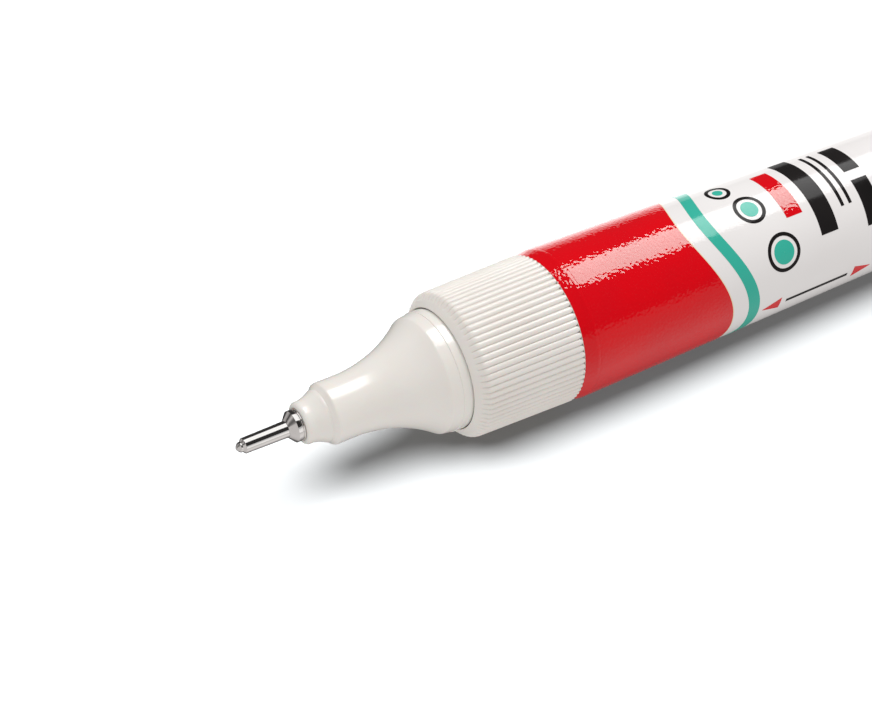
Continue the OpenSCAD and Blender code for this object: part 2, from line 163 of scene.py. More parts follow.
def noiseNode(material, grain, detail, stretch=(1, 1, 1)):
    # grain is the size of one grain in millimetres
    nodes, links = material.node_tree.nodes, material.node_tree.links
    place = nodes.new("ShaderNodeTexCoord")
    scale = nodes.new("ShaderNodeMapping")
    scale.inputs["Scale"].default_value = [s / (grain * mm) for s in stretch]
    noise = nodes.new("ShaderNodeTexNoise")
    noise.inputs["Scale"].default_value = 1
    noise.inputs["Detail"].default_value = detail
    links.new(place.outputs["Object"], scale.inputs["Vector"])
    links.new(scale.outputs["Vector"], noise.inputs["Vector"])
    return noise.outputs["Fac"]


def spread(material, value, low, high):
    # maps a noise to a range, for roughness
    node = material.node_tree.nodes.new("ShaderNodeMapRange")
    node.inputs["From Min"].default_value, node.inputs["From Max"].default_value = spreadSpan
    node.inputs["To Min"].default_value = low
    node.inputs["To Max"].default_value = high
    material.node_tree.links.new(value, node.inputs["Value"])
    return node.outputs["Result"]


def tint(material, value, first, second):
    # colour that drifts between two close tones
    node = material.node_tree.nodes.new("ShaderNodeValToRGB")
    for stop, position, colour in zip(node.color_ramp.elements, tintSpan, (first, second)):
        stop.position = position
        stop.color = (*colour, 1)
    links = material.node_tree.links
    links.new(value, node.inputs["Fac"])
    links.new(node.outputs["Color"], material.node_tree.nodes["Principled BSDF"].inputs["Base Color"])


def wire(material, value, socket):
    shader = material.node_tree.nodes["Principled BSDF"]
    material.node_tree.links.new(value, shader.inputs[socket])


def relief(material, layers):
    # layers are (noise, height in millimetres); each is laid on the one before
    nodes, links = material.node_tree.nodes, material.node_tree.links
    normal = None
    for value, height in layers:
        bump = nodes.new("ShaderNodeBump")
        bump.inputs["Strength"].default_value = 1
        bump.inputs["Distance"].default_value = height * mm
        links.new(value, bump.inputs["Height"])
        if normal:
            links.new(normal, bump.inputs["Normal"])
        normal = bump.outputs["Normal"]
    wire(material, normal, "Normal")


# Camera: fitted to the photo's outlines, in metres
photoCamera = {
    "place": (0, -0.225, 0.20053),
    "aim": (0.00125, 0, 0.09608),
    "up": (0.9304, -0.1586, -0.3305),
    "lens": 84.05,
    "sensor": 36,
    "clip": (0.01, 10),
}


def makeCamera():
    data = bpy.data.cameras.new("camera")
    data.lens, data.sensor_width = photoCamera["lens"], photoCamera["sensor"]
    data.clip_start, data.clip_end = photoCamera["clip"]
    camera = bpy.data.objects.new("camera", data)
    bpy.context.scene.collection.objects.link(camera)
    place = Vector(photoCamera["place"])
    forward = (Vector(photoCamera["aim"]) - place).normalized()
    right = forward.cross(Vector(photoCamera["up"])).normalized()
    up = right.cross(forward)
    turn = Matrix((right, up, -forward)).transposed()
    camera.matrix_world = Matrix.Translation(place) @ turn.to_4x4()
    bpy.context.scene.camera = camera


makeCamera()
print("camera placed")

# Nose cone: the same form as its solid, with finer curves
nose = {
    "bandRadius": 7.75, "bandLength": 1.1, "bandRound": 0.06, "bandStep": 0.05, "bandCrease": (0.02, 0.01),
    "seamGap": 0.1, "bandSink": 0.27, "relief": 0.25,
    "crownLength": 1.3, "crownAngle": 9, "shoulderRound": 0.6,
    "flareAngle": 35, "flareRound": 18, "stemRadius": 3.9,
    "stepBack": 3.05, "stepHeight": 0.58, "stepRound": 0.4, "stepAngle": 48,
    "stepFlat": 0.13, "stepRunOut": 0.1, "stepFillet": 0.14, "filletTurn": (212, 182),
    "frontRadius": 2.65, "frontDraft": 0.03, "frontHollow": 0.08, "frontRing": 0.6, "frontRound": 0.5,
    "skirtRadius": 6.97, "flange": 1.2, "skirt": 4.0,
    # inside, from the mouth to the skirt: (radius, depth below the nose front)
    "inside": [(2.1, 0), (2.1, 0.1), (1.77, 0.1), (1.77, 6.4), (2.3, 6.4), (2.3, 12.04), (5.35, 17.4),
               (5.97, 18.4)],
    "sides": 192,
    "colour": (0.86, 0.83, 0.79), "warmColour": (0.84, 0.805, 0.76),
    "refraction": 1.5, "subsurface": 0.12, "subsurfaceDepth": 0.0012,
    "roughness": (0.16, 0.24), "drift": 9, "waviness": 0.01, "grain": 0.5, "grainHeight": 0.0008,
}


def noseMaterial():
    material = plainMaterial("glossy warm white plastic", nose["colour"], nose["roughness"][0],
                             IOR=nose["refraction"], Subsurface_Weight=nose["subsurface"],
                             Subsurface_Scale=nose["subsurfaceDepth"])
    slow = noiseNode(material, nose["drift"], 2)
    fine = noiseNode(material, nose["grain"], 4)
    tint(material, slow, nose["colour"], nose["warmColour"])
    wire(material, spread(material, slow, *nose["roughness"]), "Roughness")
    relief(material, [(slow, nose["waviness"]), (fine, nose["grainHeight"])])
    return material


def makeNose():
    n = nose
    front, seam = top("nose_cone"), top("collar")
    flangeTop = foot("nose_cone") + n["skirt"] + n["flange"]
    flangeFoot = foot("nose_cone") + n["skirt"]
    flangeRadius = girth("nose_cone")
    bandTop = seam + n["seamGap"] + n["bandLength"]
    # the band reaches into the collar's hole, which leaves a hairline between them
    bandFoot = seam + n["seamGap"] - n["bandSink"]
    crown = n["bandRadius"] - n["bandStep"]
    rising, lean = math.radians(n["crownAngle"]), math.radians(n["flareAngle"])
    shoulderMid = crown - n["crownLength"] * math.tan(rising) - n["shoulderRound"] * math.cos(rising)
    shoulderUp = bandTop + n["crownLength"] - n["shoulderRound"] * math.sin(rising)
    slopeRadius = shoulderMid + n["shoulderRound"] * math.cos(lean)
    slopeTop = shoulderUp + n["shoulderRound"] * math.sin(lean)
    flareOut = n["flareRound"] * (1 - math.cos(lean))
    slope = (slopeRadius - n["stemRadius"] - flareOut) / math.sin(lean)
    flareTop = slopeTop + slope * math.cos(lean) + n["flareRound"] * math.sin(lean)
    stepFoot = front - n["stepBack"]
    rise = math.radians(n["stepAngle"])
    riseRun = (n["stepHeight"] - n["stepRound"] * (1 - math.cos(rise))) / math.tan(rise)
    riseTop = stepFoot - riseRun - n["stepRound"] * math.sin(rise)
    lip, edge = n["frontRound"], n["bandRound"]
    bandMid, reliefRadius = n["bandRadius"] - edge, n["bandRadius"] - n["relief"]
    loop = [(n["skirtRadius"], foot("nose_cone")), (n["skirtRadius"], flangeFoot)]
    loop += [(flangeRadius, flangeFoot), (flangeRadius, flangeTop)]
    creaseDepth, creaseUp = n["bandCrease"]
    loop += [(reliefRadius, flangeTop), (reliefRadius, bandFoot)]
    loop += arcPoints(bandMid, bandFoot + edge, edge, -90, 0, 4)
    loop += arcPoints(bandMid, bandTop - edge, edge, 0, 60, 4)
    loop += [(crown - creaseDepth, bandTop + creaseUp)]
    loop += arcPoints(shoulderMid, shoulderUp, n["shoulderRound"], n["crownAngle"], n["flareAngle"], 8)
    loop += arcPoints(n["stemRadius"] + n["flareRound"], flareTop, n["flareRound"],
                      180 + n["flareAngle"], 180, 30)
    loop += [(n["stemRadius"], (flareTop + riseTop) / 2)]
    loop += arcPoints(n["stemRadius"] - n["stepRound"], riseTop, n["stepRound"], 0, n["stepAngle"], 12)
    # the step runs out in a small fillet and a narrow flat
    footRadius = n["stemRadius"] - n["stepHeight"]
    filletMid = stepFoot + n["stepRunOut"]
    loop += arcPoints(footRadius + n["stepFillet"], filletMid, n["stepFillet"], *n["filletTurn"], 4)
    loop += hollowLine((footRadius, filletMid + n["stepFlat"]),
                       (n["frontRadius"] + n["frontDraft"], front - lip - n["frontRing"]), n["frontHollow"])
    loop += arcPoints(n["frontRadius"] - lip, front - lip, lip, 0, 90, 8)
    loop += [(r, front - depth) for r, depth in n["inside"]]
    loop += [(n["inside"][-1][0], foot("nose_cone"))]
    piece = spinLoop("noseCone", loop, noseMaterial(), sides=n["sides"])
    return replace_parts(piece, "nose_cone")


nosePiece = makeNose()
print("nose cone made")

# Collar: 72 round ribs that run out on the sloping front
collar = {
    "ribs": 72, "grooveDepth": 0.24, "grooveExtra": 0.05, "grooveSide": 0.35, "taper": 0.3,
    # places across one rib, as shares of the pitch from its middle; the first is the groove's foot
    "ribSteps": [-0.5, -0.47, -0.41, -0.32, -0.2, -0.07, 0.07, 0.2, 0.32, 0.41, 0.47], "grooveFrom": 0.45,
    "slopeLength": 1.25, "slopeInset": 0.2, "slopeShare": 0.85,
    "cornerReach": 0.6, "cornerBend": 0.22, "cornerInset": 0.01,
    # the rim's turn in degrees, and the slope's end before it as shares of the rim's rounding
    "rimRound": 0.2, "rimTurn": (100, 180), "rimLead": (1.05, 0.12),
    "rearRound": 0.08, "rearBend": (0.024, 0.025), "rearLift": 0.1,
    "sideSteps": [0, 0.15, 0.4, 0.65, 0.85, 1.0],
    "holeRadius": 7.83, "boreRadius": 8.4, "beadGroove": (8.8, 4.4, 1.5), "ledge": 1.6,
    "grooveEnd": 0.5, "ribEnd": 1.3, "ribEndReach": 1.2,
    "colour": (0.82, 0.785, 0.745), "warmColour": (0.80, 0.76, 0.715),
    "refraction": 1.5, "subsurface": 0.1, "subsurfaceDepth": 0.0008,
    "roughness": (0.36, 0.46), "drift": 7, "grain": 0.25, "grainHeight": 0.0015,
}


def collarMaterial():
    material = plainMaterial("satin ivory plastic", collar["colour"], collar["roughness"][0],
                             IOR=collar["refraction"], Subsurface_Weight=collar["subsurface"],
                             Subsurface_Scale=collar["subsurfaceDepth"])
    slow = noiseNode(material, collar["drift"], 2)
    fine = noiseNode(material, collar["grain"], 4)
    tint(material, slow, collar["colour"], collar["warmColour"])
    wire(material, spread(material, fine, *collar["roughness"]), "Roughness")
    relief(material, [(fine, collar["grainHeight"])])
    return material


def collarStations(rear, footZ, seam):
    # outer side from the rear edge to the hole: (radius, height, groove share)
    c = collar
    ridge = seam - c["slopeLength"]
    side = rear - c["taper"]
    sideFoot, sideTop = footZ + c["rearLift"], ridge - c["cornerReach"]
    bendInset, bendUp = c["rearBend"]
    rows = [(rear - c["rearRound"], footZ, 1.0), (rear - bendInset, footZ + bendUp, 1.0)]
    rows += [(rear - c["taper"] * t, sideFoot + (sideTop - sideFoot) * t, 1.0) for t in c["sideSteps"]]
    slopeStart = Vector((side - c["slopeInset"], ridge))
    rim, (leadOut, leadDown) = c["rimRound"], c["rimLead"]
    slopeEnd = Vector((c["holeRadius"] + rim * leadOut, seam - rim * leadDown))
    cornerStart = Vector((side, sideTop))
    corner = Vector((side - c["cornerInset"], ridge - c["cornerBend"]))
    for k in range(1, 8):
        t = k / 8
        p = (1 - t) ** 2 * cornerStart + 2 * t * (1 - t) * corner + t * t * slopeStart
        rows.append((p.x, p.y, 1.0 - (1 - c["slopeShare"]) * t))
    for k in range(13):
        t = k / 12
        p = slopeStart.lerp(slopeEnd, t)
        share = max(0.0, 1 - t / c["grooveEnd"])
        rows.append((p.x, p.y, c["slopeShare"] * share ** 0.5))
    rounding = arcPoints(c["holeRadius"] + rim, seam - rim, rim, *c["rimTurn"], 6)
    return rows + [(r, z, 0.0) for r, z in rounding]


def makeCollar():
    c = collar
    footZ, seam, rear = foot("collar"), top("collar"), girth("collar")
    rows = collarStations(rear, footZ, seam)
    grooveRadius, grooveUp, grooveHeight = c["beadGroove"]
    grooveFoot, grooveTop = footZ + grooveUp, footZ + grooveUp + grooveHeight
    ledge, bore = seam - c["ledge"], c["boreRadius"]
    inner = [(c["holeRadius"], ledge), (bore, ledge), (bore, grooveTop), (grooveRadius, grooveTop),
             (grooveRadius, grooveFoot), (bore, grooveFoot), (bore, footZ)]
    rows += [(r, z, 0.0) for r, z in inner]
    halfPitch = (rear - c["grooveDepth"]) * math.sin(math.pi / c["ribs"])
    ribRadius = (halfPitch ** 2 + c["grooveDepth"] ** 2) / (2 * c["grooveDepth"])
    columns = []
    for rib in range(c["ribs"]):
        for u in c["ribSteps"]:
            across = 2 * u * halfPitch
            dip = ribRadius - math.sqrt(ribRadius ** 2 - across ** 2)
            if abs(u) > c["grooveFrom"]:
                dip += c["grooveExtra"] * (1 if abs(u) == 0.5 else c["grooveSide"])
            columns.append((2 * math.pi * (rib + u) / c["ribs"], dip))
    vertices, faces = [], []
    for i, (r, z, share) in enumerate(rows):
        before, after = rows[max(i - 1, 0)], rows[min(i + 1, len(rows) - 1)]
        along = Vector((after[0] - before[0], after[1] - before[1])).normalized()
        inward = Vector((-along.y, along.x)) if share else Vector((0, 0))
        if i == 0:
            inward = Vector((-1, 0))
        # rib ends stand out beyond the grooves at the rear edge
        ended = c["ribEnd"] * max(0, 1 - (z - footZ) / c["ribEndReach"]) if share else 0
        for a, dip in columns:
            out = r + inward.x * dip * share
            vertices.append((out * math.cos(a), out * math.sin(a), z + (inward.y * share + ended) * dip))
    wide = len(columns)
    for i in range(len(rows)):
        j = (i + 1) % len(rows)
        for k in range(wide):
            k2 = (k + 1) % wide
            faces.append((i * wide + k, i * wide + k2, j * wide + k2, j * wide + k))
    piece = finishMesh("ribbedCollar", vertices, faces, collarMaterial(), sharpAngle=50)
    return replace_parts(piece, "collar")


collarPiece = makeCollar()
print("collar made")

# Barrel film: a long cone, the rolled shoulder bead and the lowered ring in front of it
film = {
    "thickness": 0.12, "rearEdge": 0.05,
    "beadWidth": 0.4, "beadRound": 0.5, "beadLead": 0.2, "gapWidth": 0.1, "gapDepth": 0.012,
    "ringSlope": 10.4, "ringDrop": 0.23, "edgeInset": 0.015, "shoulderReach": 1,
    "sides": 288, "rowCount": 40,
    "colour": (0.83, 0.81, 0.805), "shade": (0.80, 0.775, 0.77),
    "refraction": 1.5, "gloss": 0.2,
    "roughness": (0.1, 0.16), "drift": 12, "waviness": 0.015, "grain": 0.3, "grainHeight": 0.003,
}
filmFoot, filmTop = foot("label_film"), top("label_film")
shoulderRadius = girth("label_film")
heelRadius = girth("label_film", filmFoot)
shoulderHeight = max(v.co.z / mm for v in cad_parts["label_film"].data.vertices
                     if v.co.xy.length / mm > shoulderRadius - near / 2)
coneEnd = shoulderHeight - film["shoulderReach"]


def barrelRadius(z):
    return heelRadius + (shoulderRadius - heelRadius) * (z - filmFoot) / (shoulderHeight - filmFoot)


def shoulderProfile():
    # from the end of the cone to the collar: fine gap, rolled edge, sloping ring
    f = film
    edge = shoulderRadius - f["edgeInset"]
    beadFoot = shoulderHeight - f["beadWidth"]
    points = [(edge, beadFoot - f["gapWidth"] - f["beadLead"])]
    steps = 6
    for k in range(steps + 1):
        dip = f["gapDepth"] * (1 - math.cos(2 * math.pi * k / steps)) / 2
        points.append((edge - dip, beadFoot + f["gapWidth"] * (k / steps - 1)))
    turn = f["ringSlope"]
    run = f["beadRound"] * math.sin(math.radians(turn))
    points += arcPoints(edge - f["beadRound"], shoulderHeight - run, f["beadRound"], 0, turn, 6)
    last = points[-1]
    points.append((last[0] - (filmTop - last[1]) * math.tan(math.radians(turn)), filmTop))
    return points


def filmMaterial(name, colours, gloss=film["gloss"]):
    material = plainMaterial(name, colours[0], film["roughness"][0],
                             IOR=film["refraction"], Specular_IOR_Level=gloss)
    slow = noiseNode(material, film["drift"], 2)
    fine = noiseNode(material, film["grain"], 3)
    tint(material, slow, *colours)
    wire(material, spread(material, fine, *film["roughness"]), "Roughness")
    relief(material, [(slow, film["waviness"]), (fine, film["grainHeight"])])
    return material


def makeFilm():
    rows = film["rowCount"]
    heights = [filmFoot, filmFoot + film["rearEdge"]]
    heights += [filmFoot + (coneEnd - filmFoot) * k / rows for k in range(1, rows + 1)]
    outer = [(barrelRadius(z), z) for z in heights] + shoulderProfile()
    inset = film["thickness"]
    ring = shoulderRadius - film["ringDrop"] - inset
    inner = [(ring, filmTop), (ring, shoulderHeight), (heelRadius - inset, filmFoot)]
    material = filmMaterial("glossy white film", (film["colour"], film["shade"]))
    piece = spinLoop("labelFilm", outer + inner, material, sides=film["sides"])
    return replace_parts(piece, "label_film")


filmPiece = makeFilm()
print("film made")

# Print: thin skins of ink on the film
ink = {
    "lift": 0.004, "thickness": 0.04,
    "redBack": 21.6, "waveRise": 4.5, "waveTurn": 210, "whiteGap": 2.6, "stripeWidth": 1.8,
    "linerWidth": 0.14, "linerGap": 0.01,
    "red": ((0.72, 0.003, 0.0085), (0.68, 0.0035, 0.0095)),
    "teal": ((0.044, 0.455, 0.35), (0.04, 0.43, 0.33)),
    "black": ((0.012, 0.011, 0.011), (0.018, 0.016, 0.016)),
    "cream": ((0.82, 0.76, 0.55), (0.80, 0.74, 0.53)), "blackGloss": 0.075,
    "redGloss": (0.4, 1, 0.95), "redRoughness": (0.03, 0.05), "redDrift": 6,
    "redWaviness": 0.02, "redGrain": 0.38, "redGrainHeight": 0.036,
}
# Printed shapes of one side, each repeated on the far side.
# Discs are (turn, distance behind the shoulder, diameter), bars (turn, span, distance, width),
# arrows (distance, way) and the line (distance, length, width).
shapes = {
    "turn": 298,
    "discs": [(-42, 30.2, 5.2), (0, 28.2, 4.42), (28, 26.6, 3.38)],
    "outline": 0.5, "discGap": 1.0, "discHole": 0.02,
    "redBar": (7, 50, 32.4, 2.6),
    "darkBars": [(0, 82, 36.6, 2.8), (5, 60, 41.0, 0.5), (5, 60, 42.3, 0.5),
                 (18, 34, 44.3, 2.6), (-28, 40, 44.3, 2.6)],
    "arrows": [(29.8, 1), (42.3, -1)], "arrowLength": 3, "arrowWidth": 2, "arrowTaper": 0.985,
    "line": (30.8, 10.5, 0.5), "lineAt": 40,
}


def redMaterial():
    material = plainMaterial("glossy red print", ink["red"][0], ink["redRoughness"][0],
                             IOR=film["refraction"], Specular_Tint=(*ink["redGloss"], 1))
    slow = noiseNode(material, ink["redDrift"], 2)
    fine = noiseNode(material, ink["redGrain"], 0)
    tint(material, slow, *ink["red"])
    wire(material, spread(material, slow, *ink["redRoughness"]), "Roughness")
    relief(material, [(slow, ink["redWaviness"]), (fine, ink["redGrainHeight"])])
    return material


def onBarrel(turn, z, radius, lift):
    # a point on the film at an angle in degrees and a height; the cone gives a radius that is None
    r = (barrelRadius(z) if radius is None else radius) + lift
    a = math.radians(turn)
    return r * math.cos(a), r * math.sin(a), z


def waveHeight(turn, back):
    # the curved border: an arc seen from the side, drawn round the barrel
    half, rise = shoulderRadius, ink["waveRise"]
    arc = (half ** 2 + rise ** 2) / (2 * rise)
    across = math.sin(math.radians(turn - ink["waveTurn"]))
    z = shoulderHeight - back
    for _ in range(3):  # the barrel's radius changes with the height that is looked for
        y = barrelRadius(z) * across
        z = shoulderHeight - back + arc - math.sqrt(arc ** 2 - y ** 2)
    return z


def closedSkin(name, grids, material, closedRound):
    # each grid is a list of columns of (turn, height, radius); every column has as many rows
    vertices, faces = [], []
    for grid in grids:
        wide, tall, start = len(grid), len(grid[0]), len(vertices)
        for lift in (ink["lift"], ink["thickness"]):
            for column in grid:
                vertices += [onBarrel(turn, z, radius, lift) for turn, z, radius in column]
        layer = wide * tall
        last = wide if closedRound else wide - 1
        for i in range(last):
            j = (i + 1) % wide
            for k in range(tall - 1):
                a, b = start + i * tall + k, start + j * tall + k
                c, d = b + 1, a + 1
                faces.append((a, d, c, b))
                faces.append((a + layer, b + layer, c + layer, d + layer))
            for k in (0, tall - 1):
                a, b = start + i * tall + k, start + j * tall + k
                faces.append((a, b, b + layer, a + layer))
        if not closedRound:
            for i in (0, wide - 1):
                for k in range(tall - 1):
                    a, b = start + i * tall + k, start + i * tall + k + 1
                    faces.append((a, b, b + layer, a + layer))
    skin = finishMesh(name, vertices, faces, material)
    skin.visible_diffuse = False  # the print doesn't tint the sheet's shadow
    return skin


def ringGrid(lower, upper, rows, shoulder=False):
    # a field all round the barrel between two borders
    grid = []
    for k in range(film["sides"]):
        turn = 360 * k / film["sides"]
        low, high = lower(turn), upper(turn)
        column = [(turn, low + (high - low) * i / rows, None) for i in range(rows + 1)]
        if shoulder:
            column += [(turn, z, r) for r, z in shoulderProfile()]
        grid.append(column)
    return grid


def barGrid(turn, span, back, width, rows=3):
    columns = max(2, int(span))
    z = shoulderHeight - back
    return [[(turn - span / 2 + span * i / columns, z - width * k / rows, None) for k in range(rows + 1)]
            for i in range(columns + 1)]


def discGrid(turn, back, outer, inner, steps=64, rings=4):
    # rings of points round a centre, as columns from the inner edge to the outer one
    z = shoulderHeight - back
    grid = []
    for i in range(steps):
        a = 2 * math.pi * i / steps
        column = []
        for k in range(rings + 1):
            r = inner + (outer - inner) * k / rings
            up = z + r * math.sin(a)
            column.append((turn + math.degrees(r * math.cos(a) / barrelRadius(up)), up, None))
        grid.append(column)
    return grid


def arrowGrid(turn, back, way, steps=6):
    # a triangle as a fan of narrow columns towards its point
    z = shoulderHeight - back
    length, half = shapes["arrowLength"], shapes["arrowWidth"] / 2
    grid = []
    for i in range(2 * steps + 1):
        x = -1 + i / steps
        column = []
        for k in range(steps + 1):
            share = 1 - shapes["arrowTaper"] * k / steps
            up = z + way * length * k / steps
            column.append((turn + math.degrees(x * half * share / barrelRadius(up)), up, None))
        grid.append(column)
    return grid


def makePrint():
    s = shapes
    redBack, gap, stripe = ink["redBack"], ink["whiteGap"], ink["stripeWidth"]
    red = redMaterial()
    teal = filmMaterial("glossy teal print", ink["teal"])
    black = filmMaterial("glossy black print", ink["black"], ink["blackGloss"])
    cream = filmMaterial("cream print edge", ink["cream"])
    field = ringGrid(lambda t: waveHeight(t, redBack), lambda t: coneEnd, 30, shoulder=True)
    made = [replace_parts(closedSkin("redField", [field], red, True), "red_print")]
    stripeGrid = ringGrid(lambda t: waveHeight(t, redBack + gap + stripe),
                          lambda t: waveHeight(t, redBack + gap), 3)
    made.append(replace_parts(closedSkin("tealStripe", [stripeGrid], teal, True), "teal_print"))
    liner = ringGrid(lambda t: waveHeight(t, redBack) - ink["linerWidth"],
                     lambda t: waveHeight(t, redBack) - ink["linerGap"], 1)
    made.append(closedSkin("creamEdge", [liner], cream, True))
    redBars, redArrows, darkBars, darkRings, tealDiscs, lines = [], [], [], [], [], []
    lineBack, lineLength, lineWidth = s["line"]
    for side in (0, 180):
        middle, crest = s["turn"] + side, ink["waveTurn"] + side
        turn, span, back, width = s["redBar"]
        redBars.append(barGrid(middle + turn, span, back, width))
        for back, way in s["arrows"]:
            redArrows.append(arrowGrid(crest, back, way))
        for turn, span, back, width in s["darkBars"]:
            darkBars.append(barGrid(middle + turn, span, back, width))
        for turn, back, wide in s["discs"]:
            darkRings.append(discGrid(middle + turn, back, wide / 2, wide / 2 - s["outline"]))
            tealDiscs.append(discGrid(middle + turn, back, wide / 2 - s["discGap"], s["discHole"]))
        lineSpan = math.degrees(lineWidth / barrelRadius(s["lineAt"]))
        lines.append(barGrid(crest, lineSpan, lineBack, lineLength))
    made.append(closedSkin("redBars", redBars, red, False))
    made.append(closedSkin("redArrows", redArrows, red, False))
    made.append(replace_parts(closedSkin("darkBars", darkBars + lines, black, False), "dark_print"))
    made.append(closedSkin("darkRings", darkRings, black, True))
    made.append(closedSkin("tealDiscs", tealDiscs, teal, True))
    return made


printPieces = makePrint()
print("print made")

# Metal tip: turned holder, drawn tube with its crimped lip, and the ball
tip = {
    "shankRadius": 1.75, "seatRadius": 2.0, "seatThick": 0.3, "grooveLength": 0.16, "grooveRadius": 1.85,
    "coneRadius": 1.97, "rim": 0.5, "coneLength": 0.8, "coneFlare": 0.16, "coneSlant": 0.03,
    "coneRound": 0.2, "frontWall": 0.05, "rearChamfer": 0.2, "holderBore": 0.85, "boreChamfer": 0.5,
    "tubeRadius": 1.03, "tubeFrontRadius": 0.955, "tubeGap": 0.02, "tubeSeat": 3.5, "tubeBore": 0.56,
    "crimp": 0.68, "crimpRound": 0.1, "crimpTurn": 0.1, "crimpNeck": 0.4,
    "neckRadius": 0.63, "neckRound": 0.06, "neckTopRound": 0.1,
    "lipRadius": 0.55, "lipHole": 0.48, "lipRound": 0.015, "edge": 0.03,
    "steel": (0.86, 0.845, 0.825), "shade": 0.96, "drift": 2, "lineGrain": 0.12,
    # stretch: finer lines along the axis that has the larger number
    "turned": {"roughness": (0.05, 0.1), "stretch": (0.15, 0.15, 2), "height": 0.0006},
    "drawn": {"roughness": (0.03, 0.07), "stretch": (2, 2, 0.05), "height": 0.0003},
    "polished": {"roughness": (0.03, 0.05), "stretch": (1, 1, 1), "height": 0.0001},
}


def metalMaterial(name, finish):
    material = plainMaterial(name, tip["steel"], finish["roughness"][0], Metallic=1)
    lines = noiseNode(material, tip["lineGrain"], 3, finish["stretch"])
    slow = noiseNode(material, tip["drift"], 2)
    tint(material, slow, tip["steel"], tuple(tip["shade"] * c for c in tip["steel"]))
    wire(material, spread(material, lines, *finish["roughness"]), "Roughness")
    relief(material, [(lines, finish["height"])])
    return material


def makeTip():
    t = tip
    turned = metalMaterial("turned and plated metal", t["turned"])
    drawn = metalMaterial("drawn and polished metal", t["drawn"])
    polished = metalMaterial("polished ball", t["polished"])
    rear, tubeFoot = foot("tip_holder"), top("tip_holder")
    cone = tubeFoot - t["coneLength"] - t["rim"]
    seatTop = cone - t["grooveLength"]
    seat = seatTop - t["seatThick"]
    tubeHole, holeFoot = t["tubeRadius"] + t["tubeGap"], tubeFoot - t["tubeSeat"]
    coneFront = t["tubeRadius"] + t["frontWall"]
    shank, bore, e = t["shankRadius"], t["holderBore"], t["edge"]
    # corners are (radius, height, rounding)
    holder = roundedLoop([
        (shank - t["rearChamfer"], rear, 0), (shank, rear + t["rearChamfer"], 0), (shank, seat, 0),
        (t["seatRadius"], seat, e), (t["seatRadius"], seatTop, e),
        (t["grooveRadius"], seatTop, e), (t["grooveRadius"], cone, e),
        (t["coneRadius"], cone, e), (t["coneRadius"], cone + t["rim"], e),
        (coneFront + t["coneSlant"] + t["coneFlare"], tubeFoot - t["coneFlare"], t["coneRound"]),
        (coneFront, tubeFoot, 0), (tubeHole, tubeFoot, 0), (tubeHole, holeFoot, 0),
        (bore, holeFoot, 0), (bore, rear + t["boreChamfer"], 0), (bore + t["boreChamfer"], rear, 0)])
    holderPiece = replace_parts(spinLoop("tipHolder", holder, turned, sides=128), "tip_holder")
    lip, tubeRear = top("tip_tube"), foot("tip_tube")
    crimp, front, turnIn = lip - t["crimp"], t["tubeFrontRadius"], t["crimpTurn"]
    ballHeight = (foot("tip_ball") + top("tip_ball")) / 2
    tube = roundedLoop([
        (t["tubeRadius"], tubeRear, 0), (t["tubeRadius"], tubeFoot, 0),
        (front, crimp, t["crimpRound"]), (front - turnIn, crimp + turnIn, t["crimpRound"]),
        (t["neckRadius"], lip - t["crimpNeck"], t["neckRound"]),
        (t["neckRadius"], ballHeight, t["neckTopRound"]),
        (t["lipRadius"], lip, e), (t["lipHole"], lip, t["lipRound"]),
        (t["tubeBore"], ballHeight, 0), (t["tubeBore"], tubeRear, 0)])
    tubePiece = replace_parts(spinLoop("tipTube", tube, drawn, sides=128), "tip_tube")
    radius = girth("tip_ball")
    ball = [(0, ballHeight - radius)] + arcPoints(0, ballHeight, radius, -86, 86, 43)
    ball += [(0, ballHeight + radius)]
    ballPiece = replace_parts(spinLoop("tipBall", ball, polished, body="ball", sides=96), "tip_ball")
    return holderPiece, tubePiece, ballPiece


metalPieces = makeTip()
print("metal tip made")

# Finishes of the nodes that stay as they are: (name, colour, roughness, metallic)
innerFinish = {
    "bottle": ("satin natural plastic", (0.80, 0.79, 0.74), 0.42, 0),
    "neck_gasket": ("soft grey rubber", (0.16, 0.16, 0.16), 0.7, 0),
    "valve_rod": ("turned steel rod", (0.62, 0.61, 0.6), 0.25, 1),
    "valve_spring": ("spring wire", (0.55, 0.55, 0.54), 0.3, 1),
    "spring_plug": ("natural plastic plug", (0.78, 0.77, 0.73), 0.45, 0),
    "mixing_ball": ("plain steel ball", (0.55, 0.55, 0.55), 0.3, 1),
}
innerGrain = {
    "drift": 5, "shade": 0.94, "grain": 0.3, "grainHeight": 0.0015, "roughnessRange": (0.85, 1.15),
}


def finishNodes():
    g = innerGrain
    low, high = g["roughnessRange"]
    for node, (name, colour, roughness, metallic) in innerFinish.items():
        material = plainMaterial(name, colour, roughness, Metallic=metallic)
        slow = noiseNode(material, g["drift"], 2)
        fine = noiseNode(material, g["grain"], 4)
        tint(material, slow, colour, tuple(g["shade"] * c for c in colour))
        wire(material, spread(material, fine, roughness * low, roughness * high), "Roughness")
        relief(material, [(fine, g["grainHeight"])])
        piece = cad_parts[node]
        piece.data.materials.clear()
        piece.data.materials.append(material)


finishNodes()
print("nodes finished")

